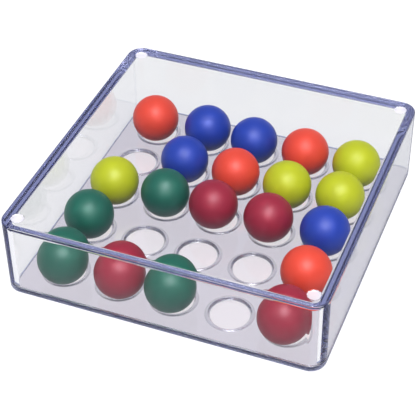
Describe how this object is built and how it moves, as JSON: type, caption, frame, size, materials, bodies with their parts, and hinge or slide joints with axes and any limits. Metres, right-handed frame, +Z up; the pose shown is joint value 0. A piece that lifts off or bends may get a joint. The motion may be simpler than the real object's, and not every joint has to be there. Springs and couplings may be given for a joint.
{
  "type": "ball puzzle game box",
  "caption": "Clear game box: a tray with a square grid of round wells, painted balls that roll from well to well, and a clear cover over them.",
  "frame": {"origin": "middle of the tray's underside, on the surface the box stands on", "axes": "+Z up, -Y towards the front of the box, +X to the right as seen from the front"},
  "size_m": [0.09, 0.09, 0.0235],
  "materials": {
    "clear_plastic": "clear moulded polystyrene, polished",
    "orange_paint": "satin paint on a turned wooden ball",
    "blue_paint": "satin paint on a turned wooden ball",
    "yellow_paint": "satin paint on a turned wooden ball",
    "green_paint": "satin paint on a turned wooden ball",
    "crimson_paint": "satin paint on a turned wooden ball"
  },
  "bodies": {
    "tray": {"well_tray": "clear_plastic"},
    "cover": {"clear_cover": "clear_plastic"},
    "orange_ball_1": {"orange_ball_1": "orange_paint"},
    "blue_ball_1": {"blue_ball_1": "blue_paint"},
    "blue_ball_2": {"blue_ball_2": "blue_paint"},
    "orange_ball_2": {"orange_ball_2": "orange_paint"},
    "yellow_ball_1": {"yellow_ball_1": "yellow_paint"},
    "blue_ball_3": {"blue_ball_3": "blue_paint"},
    "orange_ball_3": {"orange_ball_3": "orange_paint"},
    "yellow_ball_2": {"yellow_ball_2": "yellow_paint"},
    "yellow_ball_3": {"yellow_ball_3": "yellow_paint"},
    "yellow_ball_4": {"yellow_ball_4": "yellow_paint"},
    "green_ball_1": {"green_ball_1": "green_paint"},
    "crimson_ball_1": {"crimson_ball_1": "crimson_paint"},
    "crimson_ball_2": {"crimson_ball_2": "crimson_paint"},
    "blue_ball_4": {"blue_ball_4": "blue_paint"},
    "green_ball_2": {"green_ball_2": "green_paint"},
    "orange_ball_4": {"orange_ball_4": "orange_paint"},
    "green_ball_3": {"green_ball_3": "green_paint"},
    "crimson_ball_3": {"crimson_ball_3": "crimson_paint"},
    "green_ball_4": {"green_ball_4": "green_paint"},
    "crimson_ball_4": {"crimson_ball_4": "crimson_paint"}
  },
  "joints": [
    {"name": "cover_lift", "type": "slide", "parent": "tray", "child": "cover", "axis": [0, 0, 1], "range_m": [0, 0.03]},
    {"name": "orange_ball_1_hop", "type": "slide", "parent": "tray", "child": "orange_ball_1", "axis": [0, 0, 1], "range_m": [0, 0.005]},
    {"name": "blue_ball_1_hop", "type": "slide", "parent": "tray", "child": "blue_ball_1", "axis": [0, 0, 1], "range_m": [0, 0.005]},
    {"name": "blue_ball_2_hop", "type": "slide", "parent": "tray", "child": "blue_ball_2", "axis": [0, 0, 1], "range_m": [0, 0.005]},
    {"name": "orange_ball_2_hop", "type": "slide", "parent": "tray", "child": "orange_ball_2", "axis": [0, 0, 1], "range_m": [0, 0.005]},
    {"name": "yellow_ball_1_hop", "type": "slide", "parent": "tray", "child": "yellow_ball_1", "axis": [0, 0, 1], "range_m": [0, 0.005]},
    {"name": "blue_ball_3_roll", "type": "hinge", "parent": "tray", "child": "blue_ball_3", "pos_m": [-0.02406, 0.01428, -0.01611], "axis": [0, -1, 0], "range_deg": [0, 36.64]},
    {"name": "orange_ball_3_hop", "type": "slide", "parent": "tray", "child": "orange_ball_3", "axis": [0, 0, 1], "range_m": [0, 0.005]},
    {"name": "yellow_ball_2_hop", "type": "slide", "parent": "tray", "child": "yellow_ball_2", "axis": [0, 0, 1], "range_m": [0, 0.005]},
    {"name": "yellow_ball_3_hop", "type": "slide", "parent": "tray", "child": "yellow_ball_3", "axis": [0, 0, 1], "range_m": [0, 0.005]},
    {"name": "yellow_ball_4_hop", "type": "slide", "parent": "tray", "child": "yellow_ball_4", "axis": [0, 0, 1], "range_m": [0, 0.005]},
    {"name": "green_ball_1_hop", "type": "slide", "parent": "tray", "child": "green_ball_1", "axis": [0, 0, 1], "range_m": [0, 0.005]},
    {"name": "crimson_ball_1_roll", "type": "hinge", "parent": "tray", "child": "crimson_ball_1", "pos_m": [-0.00089, -0.00972, -0.01611], "axis": [1, 0, 0], "range_deg": [0, 36.64]},
    {"name": "crimson_ball_2_hop", "type": "slide", "parent": "tray", "child": "crimson_ball_2", "axis": [0, 0, 1], "range_m": [0, 0.005]},
    {"name": "blue_ball_4_hop", "type": "slide", "parent": "tray", "child": "blue_ball_4", "axis": [0, 0, 1], "range_m": [0, 0.005]},
    {"name": "green_ball_2_roll", "type": "hinge", "parent": "tray", "child": "green_ball_2", "pos_m": [-0.02389, -0.01777, -0.01611], "axis": [0, 1, 0], "range_deg": [0, 36.64]},
    {"name": "orange_ball_4_roll", "type": "hinge", "parent": "tray", "child": "orange_ball_4", "pos_m": [0.02414, -0.01869, -0.01611], "axis": [0, -1, 0], "range_deg": [0, 36.64]},
    {"name": "green_ball_3_hop", "type": "slide", "parent": "tray", "child": "green_ball_3", "axis": [0, 0, 1], "range_m": [0, 0.005]},
    {"name": "crimson_ball_3_hop", "type": "slide", "parent": "tray", "child": "crimson_ball_3", "axis": [0, 0, 1], "range_m": [0, 0.005]},
    {"name": "green_ball_4_hop", "type": "slide", "parent": "tray", "child": "green_ball_4", "axis": [0, 0, 1], "range_m": [0, 0.005]},
    {"name": "crimson_ball_4_roll", "type": "hinge", "parent": "tray", "child": "crimson_ball_4", "pos_m": [0.0237, -0.03471, -0.01611], "axis": [0, -1, 0], "range_deg": [0, 36.64]}
  ]
}
